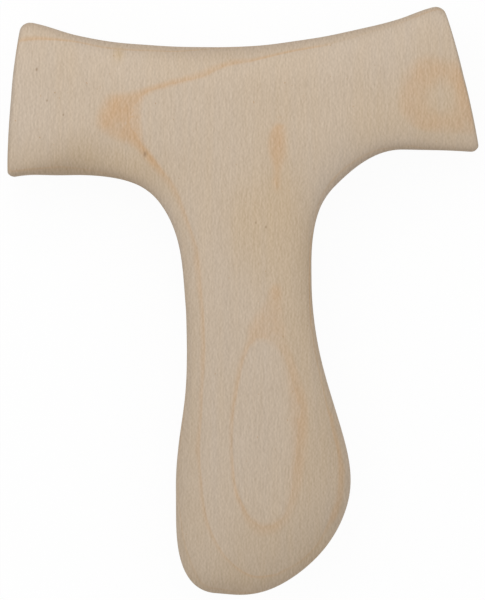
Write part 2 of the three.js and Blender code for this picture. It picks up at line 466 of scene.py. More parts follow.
@dataclass(frozen=True)
class Stem:
    """The stem: its neck, one more place on each flank, its widest place low down and the rounded foot."""

    neck_width: float = 20.1
    left_neck_drop: float = 42
    right_neck_drop: float = 28.5
    left_flank_rise: float = 10.2
    left_flank_step: float = 0.25
    left_flank_lean: float = 4
    right_flank_drop: float = 19.4
    right_flank_step: float = 3.55
    right_flank_lean: float = 17
    length: float = 79
    lowest_reach: float = 1.6
    foot_width: float = 28.28
    foot_offset: float = 2.3
    left_foot_rise: float = 16.8
    right_foot_rise: float = 18.5
    heel_step: float = 3.8
    heel_rise: float = 0.3
    heel_slope: float = 5
    sole_inset: float = 7
    sole_rise: float = 4.7
    sole_slope: float = 41
    foot_pace: float = 0.5
    stations: int = 132
    foot_stations: int = 112
    round_places: tuple[float, ...] = (0, 0.5, 1)

    def neck(self, side: Side) -> np.ndarray:
        """Narrowest place of the stem on one side."""
        drop = self.left_neck_drop if side is Side.LEFT else self.right_neck_drop
        return np.array([side.value * self.neck_width / 2, -drop])

    def foot(self, side: Side) -> np.ndarray:
        """Widest place of the foot on one side."""
        rise = self.left_foot_rise if side is Side.LEFT else self.right_foot_rise
        return np.array([self.foot_offset + side.value * self.foot_width / 2, rise - self.length])

    def side_edge(self, side: Side, pit: Node) -> SmoothLine:
        """Outline from an armpit down the neck to the widest place of the foot.

        Args:
            side: the side of the stem.
            pit: the node in the armpit's hollow, which heads along the arm.

        Returns:
            The edge.
        """
        neck = self.neck(side)
        start = Node(pit.x, pit.y, pit.heading + 180)
        narrowest = Node(*neck, -90)
        widest = Node(*self.foot(side), -90)
        if side is Side.LEFT:
            place = neck + np.array([-self.left_flank_step, self.left_flank_rise])
            return SmoothLine([start, Node(*place, self.left_flank_lean - 90), narrowest, widest])
        place = neck + np.array([self.right_flank_step, -self.right_flank_drop])
        return SmoothLine([start, narrowest, Node(*place, self.right_flank_lean - 90), widest])

    def foot_edge(self) -> SmoothLine:
        """Outline round the foot.

        Returns:
            The edge, from the foot's widest place on the left to the one on the right.
        """
        right = self.foot(Side.RIGHT)
        return SmoothLine(
            [
                Node(*self.foot(Side.LEFT), -90),
                Node(-self.lowest_reach - self.heel_step, self.heel_rise - self.length, -self.heel_slope),
                Node(-self.lowest_reach, -self.length, 0),
                Node(right[0] - self.sole_inset, self.sole_rise - self.length, self.sole_slope),
                Node(*right, 90),
            ]
        )

    def ribs(self, section: Section, left_pit: Node, right_pit: Node) -> list[Ribs]:
        """The ribs down both sides of the stem and the spokes round the foot.

        Args:
            section: the board's cross-section.
            left_pit: the node in the left armpit.
            right_pit: the node in the right armpit.

        Returns:
            The left ribs, the right ribs and the spokes, all straight in plan and of full height.
        """
        neck_middle = (self.neck(Side.LEFT) + self.neck(Side.RIGHT)) / 2
        foot_middle = (self.foot(Side.LEFT) + self.foot(Side.RIGHT)) / 2
        middle = SmoothLine([Node(0, 0, -90), Node(*neck_middle, -90), Node(*foot_middle, -90)])
        shares = np.arange(self.stations + 1) / self.stations
        inner = middle.at(eased(shares, 0, self.foot_pace))
        down = blended_rounds(self.round_places, (section.pit, section.pit, section.foot), shares)
        around = np.arange(self.foot_stations + 1) / self.foot_stations
        hub = np.repeat(foot_middle[None], len(around), axis=0)
        foot = np.repeat(down[-1:], len(around), axis=0)
        return [
            Ribs.straight(inner, self.side_edge(Side.LEFT, left_pit).at(shares), down, -1),
            Ribs.straight(inner, self.side_edge(Side.RIGHT, right_pit).at(shares), down, 1),
            Ribs.straight(hub, self.foot_edge().at(around), foot, -1),
        ]


@dataclass(frozen=True)
class Wave:
    """One plane wave of the shallow unevenness that sanding by hand leaves."""

    length: float
    heading: float
    height: float
    phase: float


@dataclass(frozen=True)
class HandSanding:
    """Shallow unevenness of the sanded surface, as a sum of plane waves over the board."""

    waves: tuple[Wave, ...] = (
        Wave(length=31, heading=38, height=0.045, phase=0.4),
        Wave(length=23, heading=-52, height=0.035, phase=2.1),
        Wave(length=14.5, heading=81, height=0.022, phase=4.0),
        Wave(length=11.5, heading=12, height=0.018, phase=5.3),
        Wave(length=7.5, heading=-24, height=0.009, phase=1.2),
    )
    level_phase: float = 0.35

    def offset(self, points: np.ndarray) -> np.ndarray:
        """How far each point stands out along its normal.

        It is the sum of height * sin(2 pi * way along the heading / length + phase + level_phase * z), so
        the face and the back are uneven in their own ways.

        Args:
            points: places in millimetres, one row each.

        Returns:
            The offsets in millimetres.
        """
        total = np.zeros(len(points))
        for wave in self.waves:
            way = points[:, :2] @ heading_vector(wave.heading)
            angle = 2 * np.pi * way / wave.length + wave.phase + self.level_phase * points[:, 2]
            total += wave.height * np.sin(angle)
        return total


@dataclass(frozen=True)
class LayerLine:
    """A line along which the face cuts a growth layer, as places on the face.

    The places are (x, y) in millimetres. Level 0 is the end of the layer whose line runs round the whole
    cross, 1 is the next one towards the face, and numbers between them lie inside a layer. The boldness is
    how much the late wood shows there. A closed line comes back to its first place, and the places of a
    separate one stand each for itself.
    """

    name: str
    level: float
    boldness: float
    places: tuple[tuple[float, float], ...]
    closed: bool = False
    separate: bool = False

    def points(self, step: float) -> np.ndarray:
        """Places along the line.

        They lie on the Catmull-Rom curve through the given ones. A separate line has only those.

        Args:
            step: greatest distance between two places, in millimetres.

        Returns:
            An array of places by two coordinates.
        """
        chosen = np.array(self.places)
        if self.separate:
            return chosen
        if self.closed:
            ring = np.concatenate([chosen[-1:], chosen, chosen[:2]])
        else:
            ring = np.concatenate([2 * chosen[:1] - chosen[1:2], chosen, 2 * chosen[-1:] - chosen[-2:-1]])
        made = []
        for before, first, last, after in zip(ring[:-3], ring[1:-2], ring[2:-1], ring[3:]):
            count = max(1, int(np.ceil(np.linalg.norm(last - first) / step)))
            t = (np.arange(count) / count)[:, None]
            linear = (last - before) * t
            square = (2 * before - 5 * first + 4 * last - after) * t**2
            cube = (3 * first - before - 3 * last + after) * t**3
            made.append(first + (linear + square + cube) / 2)
        if not self.closed:
            made.append(chosen[-1:])
        return np.concatenate(made)


@dataclass(frozen=True)
class WarmPatch:
    """A broad patch of warmer wood: its middle and its reach along X and Y in millimetres."""

    name: str
    middle: tuple[float, float]
    reach: tuple[float, float]
    amount: float

    def warmth(self, points: np.ndarray) -> np.ndarray:
        """Amount * exp(-(dx / reach x)^2 - (dy / reach y)^2) at each point."""
        way = (points[:, :2] - np.array(self.middle)) / np.array(self.reach)
        return self.amount * np.exp(-(way**2).sum(axis=1))


@dataclass(frozen=True)
class GrowthLayers:
    """The board's growth layers: nearly flat, warped sheets, one spacing thick.

    The level of a place is (z - W(x, y)) / spacing. The warp W is the thin-plate spline that gives each
    layer line its level on the carved face. The guides of W lie at most a step apart along a line, its
    lengths are counted in units, and its softness lets it miss a guide a little. Within about the blend of a
    line the boldness is that of the line.
    """

    spacing: float = 3
    step: float = 1.6
    softness: float = 1e-4
    unit: float = 16
    blend: float = 1
    neighbours: int = 12
    smallest: float = 1e-12
    lines: tuple[LayerLine, ...] = ()

    def boldness(self, points: np.ndarray) -> np.ndarray:
        """How much the late wood shows at each point.

        It is the mean of the lines' boldness, weighted by 1 / (distance^2 + blend^2)^2 to their places.

        Args:
            points: places in millimetres, one row each.

        Returns:
            The boldness of each point.
        """
        total = np.zeros(len(points))
        weight = np.zeros(len(points))
        for line in self.lines:
            for place in line.points(self.step):
                nearness = 1 / (((points[:, :2] - place) ** 2).sum(axis=1) + self.blend**2) ** 2
                total += nearness * line.boldness
                weight += nearness
        return total / weight

    def levels(self, points: np.ndarray) -> np.ndarray:
        """The level of each point of the carved surface.

        Args:
            points: places in millimetres, one row each, of face, sides and back.

        Returns:
            The levels, which rise by 1 from one growth layer to the next.
        """
        face = points[points[:, 2] > points[:, 2].mean()]
        guide, height = self.guides(face)
        count = len(guide)
        plane = self.plane(guide)
        terms = plane.shape[1]
        system = np.zeros((count + terms, count + terms))
        system[:count, :count] = self.bending(guide, guide) + np.eye(count) * self.softness
        system[:count, count:] = plane
        system[count:, :count] = plane.T
        weights = np.linalg.solve(system, np.concatenate([height, np.zeros(terms)]))
        warp = self.bending(points[:, :2], guide) @ weights[:count]
        warp += self.plane(points[:, :2]) @ weights[count:]
        return (points[:, 2] - warp) / self.spacing

    def guides(self, face: np.ndarray) -> tuple[np.ndarray, np.ndarray]:
        """The places that guide the warp, each of them once.

        Args:
            face: points of the face in millimetres.

        Returns:
            The places in plan, and the height there of the sheet of level 0.
        """
        places = [line.points(self.step) for line in self.lines]
        heights = []
        for line, along in zip(self.lines, places):
            log.debug("%s: %d guides at level %g", line.name, len(along), line.level)
            heights += [self.height(face, place) - self.spacing * line.level for place in along]
        guide, kept = np.unique(np.concatenate(places), axis=0, return_index=True)
        return guide, np.array(heights)[kept]

    def height(self, face: np.ndarray, place: np.ndarray) -> float:
        """The height of the face over a place, read from the plane through the face's nearest points.

        Args:
            face: points of the face in millimetres.
            place: the place in plan.

        Returns:
            The height in millimetres.
        """
        away = ((face[:, :2] - place) ** 2).sum(axis=1)
        near = face[np.argsort(away)[: self.neighbours]]
        plane = np.column_stack([np.ones(len(near)), near[:, :2] - place])
        rise = np.linalg.lstsq(plane, near[:, 2] - near[0, 2], rcond=None)[0][0]
        return float(near[0, 2] + rise)

    def plane(self, places: np.ndarray) -> np.ndarray:
        """The terms 1, x and y of a plane at places, with x and y in units of the spline."""
        return np.column_stack([np.ones(len(places)), places / self.unit])

    def bending(self, places: np.ndarray, guide: np.ndarray) -> np.ndarray:
        """Thin-plate kernel r^2 log r, where r is the distance in units of the spline.

        Args:
            places: places in plan.
            guide: the places that guide the spline.

        Returns:
            An array of places by guides.
        """
        square = np.zeros((len(places), len(guide)))
        for axis in (0, 1):
            square += ((places[:, axis, None] - guide[None, :, axis]) / self.unit) ** 2
        return square * np.log(np.maximum(square, self.smallest)) / 2


# Where the growth layers show on the face. The places were picked one by one along their lines in the
# photograph and then worked out from its pixels into millimetres outside this script. Levels and boldness
# were set by trial against renders.
LAYER_LINES = (
    LayerLine("round_top", 0, 0.1, ((22.6, 12.5), (16.7, 10.8), (12.2, 9.5))),
    LayerLine("round_upper", 0, 0.72, (
        (12.2, 9.5), (6.6, 8.5), (0.2, 7), (-3.9, 6.2), (-7.4, 4.5), (-12.8, 3.2), (-15.9, 2.3),
        (-17.5, 1.3),
    )),
    LayerLine("round_shoulder", 0, 1, (
        (-17.5, 1.3), (-18.1, -0.8), (-18.1, -3.1), (-17.7, -5), (-16.9, -6.7), (-14, -10.3),
    )),
    LayerLine("round_left_neck", 0, 0.38, ((-14, -10.3), (-11.7, -13.6), (-9.5, -19.3), (-8.2, -23.3))),
    LayerLine("round_left_stem", 0, 0.45, (
        (-8.2, -23.3), (-7.6, -29.7), (-7.1, -36.1), (-7.1, -40.9), (-7.4, -46.4), (-7.5, -49.3),
        (-7.9, -55.4), (-7.4, -62.4),
    )),
    LayerLine("round_left_foot", 0, 0.45, (
        (-7.4, -62.4), (-6.7, -66.6), (-5.3, -70), (-3.7, -72.5), (-1.4, -74.6), (1.1, -75.7), (4.3, -75.4),
    )),
    LayerLine("round_sole", 0, 0.35, ((4.3, -75.4), (8.2, -73.3), (11.1, -70.3), (12.8, -66.9))),
    LayerLine("round_right_foot", 0, 0.42, (
        (12.8, -66.9), (14, -63.4), (14.4, -59.9), (14.3, -56.2), (13.3, -52.2),
    )),
    LayerLine("round_right_flank", 0, 0.3, ((13.3, -52.2), (11.9, -45.9), (10.6, -40.1), (9.8, -34.5))),
    LayerLine("round_right_neck", 0, 1, ((9.8, -34.5), (9.6, -28.1), (9.8, -21.7))),
    LayerLine("round_right_pit", 0, 0.3, (
        (9.8, -21.7), (10.9, -16.4), (12.7, -12.8), (15.6, -9.8), (20.2, -7.2), (25.8, -6.4),
    )),
    LayerLine("right_foot_edge", -0.12, 0.8, (
        (13.5, -49.7), (14.1, -52.2), (14.9, -55.4), (15.5, -58.6), (15.4, -61), (15.1, -63.9),
        (14.1, -66.6),
    )),
    LayerLine("oval_upper_left", 1, 0.46, (
        (0.8, -37.6), (-0.3, -39.2), (-1.1, -41.6), (-1.8, -44.9), (-2.4, -48.1),
    )),
    LayerLine("oval_left", 1, 0.55, (
        (-2.4, -48.1), (-2.7, -52.2), (-2.7, -56.2), (-2.3, -60.5), (-1.3, -63.9), (0, -66.1),
    )),
    LayerLine("oval_sole", 1, 0.35, ((0, -66.1), (1.8, -67.4), (4, -67.2), (5.8, -65.6))),
    LayerLine("oval_lower_right", 1, 0.2, ((5.8, -65.6), (6.7, -62.4), (7.2, -58.4))),
    LayerLine("oval_right", 1, 0.62, (
        (7.2, -58.4), (7.5, -54.4), (7.6, -50.4), (7.4, -47.3), (6.7, -44.1),
    )),
    LayerLine("oval_upper_right", 1, 0.28, ((6.7, -44.1), (5.9, -41.2), (5, -39.2), (3.5, -37.7))),
    LayerLine("oval_tongue", 0.972, 0.6, (
        (4.3, -29.7), (4, -31.3), (3.2, -33.1), (4.3, -33.5), (2.1, -34.7), (0.5, -35.9), (3.4, -35.3),
        (1.6, -36.6), (4.8, -36.1),
    ), separate=True),
    LayerLine("oval_inside", 1.14, 0.4, (
        (2.1, -40.6), (2.4, -47.3), (2.6, -53.8), (2.4, -60.2), (2.2, -64.2),
    ), separate=True),
    LayerLine("oval_outer_left", 0.72, 0.5, (
        (-1.8, -37.7), (-3.1, -42.2), (-3.7, -46.5), (-4.2, -52.2), (-4, -57), (-3.5, -61.5), (-2.4, -65.3),
    )),
    LayerLine("oval_outer_right", 0.86, 0.6, (
        (8, -64.2), (8.7, -61.8), (9.3, -58.4), (9.8, -53.8), (9.8, -49.7), (9.3, -46.2), (8.2, -42.7),
        (7.1, -39.3),
    )),
    LayerLine("oval_outer_sole", 0.84, 0.6, ((0, -68.8), (2.2, -70.1), (5.3, -68.8))),
    LayerLine("oval_outer_top", 0.78, 0.6, (
        (4.3, -27.1), (2.1, -29.7), (-1, -34.5), (6.3, -30.3), (6.9, -35.5),
    ), separate=True),
    LayerLine("end_ring", 0.84, 0.55, (
        (31.8, 8.3), (28.7, 8.7), (25.3, 7.4), (23.4, 4.3), (22.9, 0.8), (24.2, -2.3), (27.1, -4.3),
        (31.4, -5), (35.3, -5.3),
    )),
    LayerLine("end_ring_crest", 0.955, 0.58, (
        (30.3, 6.6), (27.6, 6.1), (25.8, 4.3), (25.2, 1.8), (25.8, -0.5), (27.6, -2.3), (30.3, -2.9),
        (32.2, -3.4), (34.2, -3.5),
    ), separate=True),
    LayerLine("end_ring_heart", 0.855, 0.6, ((30.6, 1.9), (31.8, 0.6), (30.2, 0.3)), separate=True),
    LayerLine("end_ring_far", 0.95, 0.75, (
        (32.6, 5.6), (33.7, 3.5), (34.3, 1.1), (34.6, -1.1),
    ), separate=True),
    LayerLine("island", 0.86, 0.75, (
        (5.1, -0.7), (4.2, -2.4), (2.9, -3.9), (2.4, -6.1), (2.9, -8.4), (3.5, -10.1), (3.7, -14.3),
        (5.1, -14.1), (5.6, -10.4), (6.4, -8), (6.4, -5), (5.8, -2.6),
    ), closed=True),
    LayerLine("island_crest", 0.965, 0.75, (
        (4.8, -2.7), (4, -4.7), (5, -4.8), (3.8, -6.7), (5.1, -6.7), (4.3, -8.5), (4.3, -10.4),
        (4.3, -12.4),
    ), separate=True),
    LayerLine("left_stem_outer", -0.2, 0.5, (
        (-9.5, -25.2), (-9, -29.7), (-8.5, -36.1), (-8.5, -40.9), (-8.7, -46.4), (-8.8, -49.3),
        (-9.3, -55.4),
    ), separate=True),
    LayerLine("top_line", -1, 0.6, (
        (-36.8, 10), (-35, 10.4), (-31.5, 10.4), (-27.9, 10.1), (-24.9, 9.5), (-22.5, 9.1), (-19.1, 8.8),
        (-14.9, 8.7),
    )),
    LayerLine("under_line", -1, 0.4, (
        (-35.1, -10.1), (-32.4, -9.9), (-30, -9.8), (-27, -10.1), (-23.4, -10.7), (-19.9, -11.6),
    )),
    LayerLine("heel_line", -1, 0.25, (
        (-11.2, -58.6), (-11.3, -62.6), (-10.9, -66.6), (-10, -71.4), (-7.9, -76.5),
    )),
    LayerLine("shoulder_foot", -0.14, 1, (
        (-25, -1.9), (-24.1, 0.6), (-24.1, -4.3), (-22.5, 2.4), (-21.3, -6.1),
    ), separate=True),
    LayerLine("shoulder_fill", -0.035, 1, (
        (-22.6, -1.8), (-22, 0), (-22, -3.7), (-20.2, 1.1), (-19.9, -5.1),
    ), separate=True),
    LayerLine("shoulder_crest", -0.013, 1, ((-20.7, -0.8), (-20.7, -3.2), (-19.3, -1.9)), separate=True),
    LayerLine("shoulder_inside", 0.07, 1, (
        (-16.2, -1.1), (-16, -3.7), (-14.3, 0), (-12.4, 1.1),
    ), separate=True),
    LayerLine("arm_level", -0.5, 0.4, (
        (-30.3, 6.4), (-30.3, -0.8), (-30.3, -6.4), (-36.4, -0.8), (-26.6, 5.6), (-26.6, -7.2),
        (-23.3, 7.2), (-22.6, -9.6),
    ), separate=True),
    LayerLine("face_level", 0.4, 0.4, (
        (-5.5, -0.8), (-5.5, -36.1), (-5.6, -47.3), (-5.8, -58.6), (13, 6.4), (-2.7, -18.5), (-9.5, -4),
        (-1.4, -73),
    ), separate=True),
    LayerLine("face_high", 0.55, 0.4, (
        (0.2, -4), (9, -3.2), (0.2, -10.4), (8.2, -11.2), (4.2, -18.5), (3.4, -24.1), (13, -0.8),
        (18.6, 0.8), (21, -2.4), (11.7, -53.8), (10.7, -61.8),
    ), separate=True),
    LayerLine("round_outside", -0.3, 0.8, (
        (-20.5, 4), (-17.5, 4.2), (-14.8, 4.6), (-11.1, 5.8), (-7.1, 7.2), (-2.3, 8.3), (-19.1, -8.8),
    ), separate=True),
)

# Broad patches of warmer, darker wood on the face, placed one by one in the photograph and worked out into
# millimetres in the same way
WARM_PATCHES = (
    WarmPatch("neck", (1.9, -18.8), (7.7, 10), 0.72),
    WarmPatch("crossbar_middle", (-2.3, 2.7), (12.9, 7.7), 0.3),
    WarmPatch("stem_middle", (8, -35.1), (4.2, 8.4), 0.48),
    WarmPatch("stem_left_middle", (-5.1, -42.5), (2.3, 17.7), 0.22),
    WarmPatch("neck_right", (8.7, -24.1), (1.9, 7.3), 0.35),
    WarmPatch("neck_shoulder", (6.6, -13.6), (3.9, 5.8), 0.15),
    WarmPatch("crossbar_top", (-11.9, 7.5), (9.7, 2.1), 0.2),
    WarmPatch("top_mark", (-20.9, 8.3), (0.7, 1.1), 1.1),
    WarmPatch("right_of_foot", (11.4, -54.6), (4.5, 12.1), 0.6),
    WarmPatch("foot", (5, -70.6), (12.9, 6.8), 0.36),
    WarmPatch("sole", (0.2, -78.5), (15.3, 5.5), 0.5),
    WarmPatch("sole_right", (13, -73.5), (4.5, 3), 0.6),
    WarmPatch("left_underside", (-26.3, -10.8), (12.1, 4.8), 0.8),
    WarmPatch("right_end", (31.9, -1.1), (6.8, 7.7), 0.4),
    WarmPatch("right_arm_middle", (20.2, -2.4), (6.8, 5.2), 0.25),
    WarmPatch("left_flank", (-10.4, -50.5), (2.1, 21), 0.28),
    WarmPatch("heel", (-9.5, -68.2), (2.6, 7.3), 0.2),
)


class Graph:
    """The node tree of one material or world, with one method that makes any of its nodes."""

    def __init__(self, owner: bpy.types.Material | bpy.types.World) -> None:
        """Empties the owner's node tree.

        Args:
            owner: the material or world.
        """
        owner.use_nodes = True
        self.tree = owner.node_tree
        self.tree.nodes.clear()

    def node(self, kind: str, settings: dict[str, object] | None = None, **inputs: object) -> bpy.types.Node:
        """Makes a node.

        Args:
            kind: the node's type, such as ShaderNodeTexNoise.
            settings: the node's properties, which are set before its sockets.
            inputs: values or fields by socket identifier, with its spaces as underscores.

        Returns:
            The new node.
        """
        made = self.tree.nodes.new(kind)
        for name, value in (settings or {}).items():
            setattr(made, name, value)
        sockets = {socket.identifier.replace(" ", "_"): socket for socket in made.inputs}
        for name, value in inputs.items():
            if isinstance(value, Field):
                self.tree.links.new(value.socket, sockets[name])
            else:
                sockets[name].default_value = value
        return made

    def field(
        self, kind: str, output: str, settings: dict[str, object] | None = None, **inputs: object
    ) -> Field:
        """Makes a node and wraps one of its outputs.

        Args:
            kind: the node's type.
            output: the identifier of the output.
            settings: the node's properties.
            inputs: values or fields by socket identifier, with its spaces as underscores.

        Returns:
            The output, as a field.
        """
        made = self.node(kind, settings, **inputs)
        socket = next(socket for socket in made.outputs if socket.identifier == output)
        return Field(self, socket)

    def vector_math(self, operation: str, output: str = "Vector", **inputs: object) -> Field:
        """Makes a Vector Math node and wraps its output."""
        return self.field("ShaderNodeVectorMath", output, {"operation": operation}, **inputs)

    def attribute(self, name: str) -> Field:
        """A number that the mesh holds for each of its points."""
        return self.field("ShaderNodeAttribute", "Fac", {"attribute_name": name})

    def tint(self, under: Field | tuple[int, ...], over: tuple[int, ...], share: Field) -> Field:
        """Lays one colour over another.

        Args:
            under: the field or the colour below, as on a screen.
            over: the colour on top, as on a screen.
            share: how much of the top colour shows, from 0 to 1.

        Returns:
            The mixed colour.
        """
        base = under if isinstance(under, Field) else linear_colour(*under)
        sockets = {"Factor_Float": share, "A_Color": base, "B_Color": linear_colour(*over)}
        return self.field("ShaderNodeMix", "Result_Color", {"data_type": "RGBA"}, **sockets)


@dataclass(frozen=True)
class Field:
    """A value that varies over a surface, as an output socket that sums, products and powers work on."""

    graph: Graph
    socket: bpy.types.NodeSocket

    def math(self, operation: str, first: object, second: object = 0.0) -> Field:
        """The result of a Math node on one or two numbers or fields."""
        sockets = {"Value": first, "Value_001": second}
        return self.graph.field("ShaderNodeMath", "Value", {"operation": operation}, **sockets)

    def __add__(self, other: object) -> Field:
        """Sum."""
        return self.math("ADD", self, other)

    def __radd__(self, other: object) -> Field:
        """Sum, with the field on the right."""
        return self.math("ADD", other, self)

    def __sub__(self, other: object) -> Field:
        """Difference."""
        return self.math("SUBTRACT", self, other)

    def __rsub__(self, other: object) -> Field:
        """Difference, with the field on the right."""
        return self.math("SUBTRACT", other, self)

    def __mul__(self, other: object) -> Field:
        """Product."""
        return self.math("MULTIPLY", self, other)

    def __rmul__(self, other: object) -> Field:
        """Product, with the field on the right."""
        return self.math("MULTIPLY", other, self)

    def __truediv__(self, other: object) -> Field:
        """Quotient."""
        return self.math("DIVIDE", self, other)

    def __rtruediv__(self, other: object) -> Field:
        """Quotient, with the field on the right."""
        return self.math("DIVIDE", other, self)

    def __pow__(self, other: object) -> Field:
        """Power."""
        return self.math("POWER", self, other)

    def __rpow__(self, other: object) -> Field:
        """Power, with the field as its exponent."""
        return self.math("POWER", other, self)

    def fraction(self) -> Field:
        """The part after the decimal point, counted up from the whole number below."""
        return self.math("FRACT", self)

    def size(self) -> Field:
        """The absolute value."""
        return self.math("ABSOLUTE", self)

    def larger(self, other: Field) -> Field:
        """The larger of two fields."""
        return self.math("MAXIMUM", self, other)

    def step_up(self, low: float, high: float) -> Field:
        """A smooth step from 0 at low to 1 at high."""
        settings = {"interpolation_type": "SMOOTHSTEP"}
        return self.graph.field(
            "ShaderNodeMapRange", "Result", settings, Value=self, From_Min=low, From_Max=high
        )


def linear_colour(red: int, green: int, blue: int) -> tuple[float, float, float, float]:
    """A colour as it is written for a screen, turned into linear light for a socket.

    The light is screen / 12.92 where it is dark, and ((screen + 0.055) / 1.055)^2.4 elsewhere, of 0 to 1.

    Args:
        red: 0 to 255.
        green: 0 to 255.
        blue: 0 to 255.

    Returns:
        Red, green, blue and an alpha of 1.
    """
    screen = np.array([red, green, blue]) / 255
    light = np.where(screen <= 0.04045, screen / 12.92, ((screen + 0.055) / 1.055) ** 2.4)
    return (float(light[0]), float(light[1]), float(light[2]), 1.0)


@dataclass(frozen=True)
class Pattern:
    """A solid noise, stretched to a size along X, Y and Z in millimetres."""

    size: tuple[float, float, float]
    detail: float = 0.0
    mean: float = 0.5

    def at(self, graph: Graph, place: Field) -> Field:
        """The noise at a place in the board.

        Args:
            graph: the material's node tree.
            place: the place in millimetres.

        Returns:
            The noise about zero, between about -0.5 and 0.5.
        """
        frequency = tuple(1 / length for length in self.size)
        stretched = graph.vector_math("MULTIPLY", Vector=place, Vector_001=frequency)
        noise = graph.field("ShaderNodeTexNoise", "Fac", Vector=stretched, Scale=1.0, Detail=self.detail)
        return noise - self.mean


@dataclass(frozen=True)
class Weights:
    """How much each pattern of the wood counts in a sum."""

    ray: float = 0
    streak: float = 0
    band: float = 0
    mottle: float = 0
    patch: float = 0

    def total(self, patterns: dict[str, Field]) -> Field:
        """The weighted sum of the patterns that count."""
        terms = [patterns[name] * weight for name, weight in asdict(self).items() if weight]
        return sum(terms[1:], terms[0])


@dataclass(frozen=True)
class LateWood:
    """How the wood of a growth layer changes with its age, from 0 at its start to 1 at its end."""

    ripening: tuple[float, float] = (0.84, 0.985)
    ripening_power: float = 1.3
    fading: tuple[float, float] = (0.0, 0.06)
    fading_power: float = 2
    fading_share: float = 0.7
    rim_age: float = 0.985
    rim_width: float = 0.025
    warming: tuple[float, float] = (0.25, 1.0)
    warming_stop: tuple[float, float] = (0.995, 1.0)

    def depth(self, age: Field) -> Field:
        """Late wood, which deepens towards the end of a layer and fades at the start of the next one.

        Args:
            age: the age of the wood.

        Returns:
            How far the colour is that of late wood.
        """
        ripe = age.step_up(*self.ripening) ** self.ripening_power
        fading = (1 - age.step_up(*self.fading)) ** self.fading_power
        return ripe + fading * self.fading_share

    def rim(self, age: Field) -> Field:
        """A peak from 0 to 1 at the thin dark rim that ends a layer."""
        return (1 - ((age - self.rim_age).size() / self.rim_width)).step_up(0.0, 1.0)

    def warmth(self, age: Field) -> Field:
        """The slow warming of a layer, which stops at its end."""
        return age.step_up(*self.warming) * (1 - age.step_up(*self.warming_stop))


@dataclass(frozen=True)
class Pin:
    """A small dark mark in the wood: its place on the face and its half width, in millimetres."""

    x: float
    y: float
    reach: float


